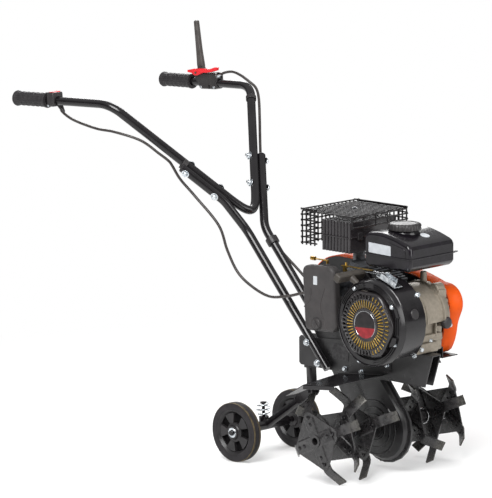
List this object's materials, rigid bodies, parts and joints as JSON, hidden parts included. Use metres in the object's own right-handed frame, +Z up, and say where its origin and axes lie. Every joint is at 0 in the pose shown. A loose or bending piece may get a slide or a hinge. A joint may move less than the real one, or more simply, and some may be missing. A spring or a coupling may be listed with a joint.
{
  "type": "garden tiller",
  "caption": "Petrol garden tiller with bolted tine stars, belt guard, chain case, fuel tank, wire-guarded muffler, splayed handlebars and a folding transport wheel set.",
  "frame": {"origin": "on the floor under the middle of the overall length and width, with the transport wheels down", "axes": "+Z up, -Y the way it travels, +X to its left, the side of the belt guard"},
  "size_m": [0.558, 1.2137, 1.0652],
  "materials": {
    "black_enamel": "gloss black enamel",
    "tine_paint": "dark grey paint, worn to bare metal at the tips",
    "moulded_plastic": "satin dark grey moulding",
    "gloss_plastic": "gloss black moulding",
    "orange_enamel": "gloss orange enamel",
    "cast_aluminium": "warm grey casting",
    "zinc": "bright zinc plating",
    "brass": "satin brass",
    "rubber": "matte black rubber",
    "red_plastic": "gloss red moulding",
    "steel": "plain steel"
  },
  "bodies": {
    "machine": {"drive_chain": "steel", "chain_case_right": "black_enamel", "chain_case_left": "black_enamel", "side_plate_right": "black_enamel", "side_plate_left": "black_enamel", "engine_bed": "black_enamel", "tine_guard_right": "black_enamel", "tine_guard_left": "black_enamel", "fan_shroud": "black_enamel", "muffler": "black_enamel", "muffler_guard": "black_enamel", "guard_back_plate": "black_enamel", "rear_post": "black_enamel", "upper_handlebar": "black_enamel", "lower_handlebar_right": "black_enamel", "lower_handlebar_left": "black_enamel", "crankcase": "cast_aluminium", "cylinder": "cast_aluminium", "cylinder_head": "cast_aluminium", "carburettor": "cast_aluminium", "recoil_cover": "moulded_plastic", "cleaner_cover": "moulded_plastic", "cleaner_base": "moulded_plastic", "switch_housing": "moulded_plastic", "lever_clamp": "moulded_plastic", "fuel_tank": "gloss_plastic", "drive_belt": "rubber", "grip_right": "rubber", "grip_left": "rubber", "stop_cable": "rubber", "clutch_cable": "rubber", "handlebar_bolt_right_upper": "zinc", "handlebar_bolt_right_lower": "zinc", "handlebar_bolt_left_upper": "zinc", "handlebar_bolt_left_lower": "zinc", "belt_guard": "orange_enamel"},
    "tine_rotor": {"tine_shaft": "steel", "tine_outer_right": "tine_paint", "tine_middle_right": "tine_paint", "tine_inner_right": "tine_paint", "tine_outer_left": "tine_paint", "tine_middle_left": "tine_paint", "tine_inner_left": "tine_paint"},
    "clutch_input": {"input_shaft": "steel"},
    "crank": {"crankshaft": "steel", "flywheel_fan": "cast_aluminium"},
    "wheel_frame": {"wheel_arm": "black_enamel", "latch_spring": "zinc"},
    "right_wheel": {"wheel_right": "rubber"},
    "left_wheel": {"wheel_left": "rubber"},
    "starter": {"starter_handle": "moulded_plastic", "starter_rope": "rubber"},
    "fuel_cap": {"fuel_cap": "moulded_plastic"},
    "oil_cap": {"oil_cap": "moulded_plastic"},
    "cleaner_knob": {"cleaner_knob": "moulded_plastic"},
    "choke": {"choke_lever": "brass"},
    "lever": {"clutch_lever": "moulded_plastic"},
    "catch": {"lever_catch": "red_plastic"},
    "rocker": {"switch_rocker": "red_plastic"},
    "idler": {"idler_arm": "zinc"}
  },
  "joints": [
    {"name": "tine_spin", "type": "hinge", "parent": "machine", "child": "tine_rotor", "pos_m": [0.006, -0.3689, 0.111], "axis": [1, 0, 0], "continuous": true},
    {"name": "input_spin", "type": "hinge", "parent": "machine", "child": "clutch_input", "pos_m": [0.044, -0.2037, 0.39804], "axis": [1, 0, 0], "continuous": true},
    {"name": "crank_spin", "type": "hinge", "parent": "machine", "child": "crank", "pos_m": [0, -0.50105, 0.39698], "axis": [1, 0, 0], "continuous": true},
    {"name": "wheel_fold", "type": "hinge", "parent": "machine", "child": "wheel_frame", "pos_m": [0, -0.1469, 0.178], "axis": [1, 0, 0], "range_deg": [0, 70]},
    {"name": "right_wheel_spin", "type": "hinge", "parent": "wheel_frame", "child": "right_wheel", "pos_m": [-0.107, 0.0181, 0.075], "axis": [1, 0, 0], "continuous": true},
    {"name": "left_wheel_spin", "type": "hinge", "parent": "wheel_frame", "child": "left_wheel", "pos_m": [0.107, 0.0181, 0.075], "axis": [1, 0, 0], "continuous": true},
    {"name": "starter_pull", "type": "slide", "parent": "machine", "child": "starter", "axis": [0, 0.8387, 0.5446], "range_m": [0, 0.5], "stiffness_N_per_m": 25, "springref_m": -0.3},
    {"name": "fuel_cap_turn", "type": "hinge", "parent": "machine", "child": "fuel_cap", "pos_m": [-0.024, -0.5012, 0.61006], "axis": [0, -0.0523, 0.9986], "range_deg": [0, 90]},
    {"name": "oil_cap_turn", "type": "hinge", "parent": "machine", "child": "oil_cap", "pos_m": [0.028, -0.57851, 0.3789], "axis": [0, -0.9986, -0.0523], "range_deg": [0, 360]},
    {"name": "cleaner_knob_turn", "type": "hinge", "parent": "machine", "child": "cleaner_knob", "pos_m": [-0.1503, -0.31696, 0.38109], "axis": [-1, 0, 0], "range_deg": [0, 180]},
    {"name": "choke_turn", "type": "hinge", "parent": "machine", "child": "choke", "pos_m": [-0.09, -0.30455, 0.52644], "axis": [0, -0.0523, 0.9986], "range_deg": [-50, 0]},
    {"name": "lever_pull", "type": "hinge", "parent": "machine", "child": "lever", "pos_m": [0.25291, 0.4531, 0.92968], "axis": [1, 0, 0], "range_deg": [-70, 0], "stiffness_Nm_per_rad": 0.5, "springref_deg": 22.92},
    {"name": "idler_swing", "type": "hinge", "parent": "machine", "child": "idler", "pos_m": [0.073, -0.31893, 0.30388], "axis": [1, 0, 0], "range_deg": [-4.2, 0]},
    {"name": "catch_lift", "type": "hinge", "parent": "lever", "child": "catch", "pos_m": [0.23411, 0.4531, 0.92968], "axis": [1, 0, 0], "range_deg": [-20, 0]},
    {"name": "rocker_switch", "type": "hinge", "parent": "machine", "child": "rocker", "pos_m": [-0.25443, 0.4666, 0.92251], "axis": [0, 1, 0], "range_deg": [-6, 6]}
  ],
  "couplings": [
    {"joint": "input_spin", "follows": "tine_spin", "ratio": 2.4286},
    {"joint": "idler_swing", "follows": "lever_pull", "ratio": 0.06}
  ]
}
